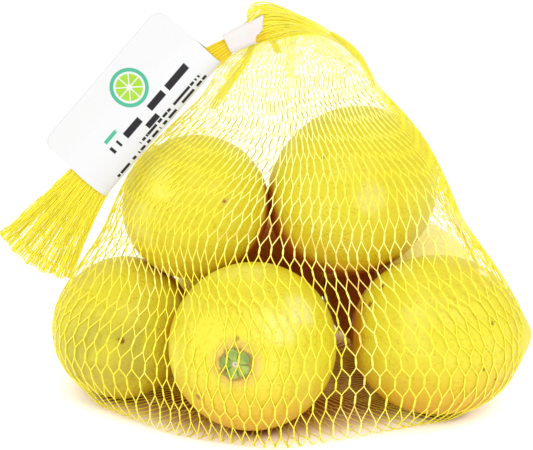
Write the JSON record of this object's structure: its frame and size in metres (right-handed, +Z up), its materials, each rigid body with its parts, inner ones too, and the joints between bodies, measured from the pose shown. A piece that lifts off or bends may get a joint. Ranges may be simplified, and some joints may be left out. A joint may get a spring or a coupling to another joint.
{
  "type": "net of lemons",
  "caption": "Small lemons in a taut knitted yellow plastic net, gathered to a clipped neck that folds over to the left, with a folded paper label and a flared tail.",
  "frame": {"origin": "on the surface that the bag stands on, under the middle of the whole object's box, tail and label included", "axes": "+Z is up, +X runs to the right across the widest side with the tail at -X, and -Y faces the front, where the label and the stem end of the middle lemon show"},
  "size_m": [0.17, 0.1188, 0.1328],
  "materials": {
    "net": "satin yellow knitted plastic over yellow lemon peel",
    "label": "smooth white printed synthetic paper",
    "clip": "smooth off-white"
  },
  "bodies": {
    "root": {"net": "net", "label": "label", "closure_clip": "clip"}
  },
  "joints": []
}
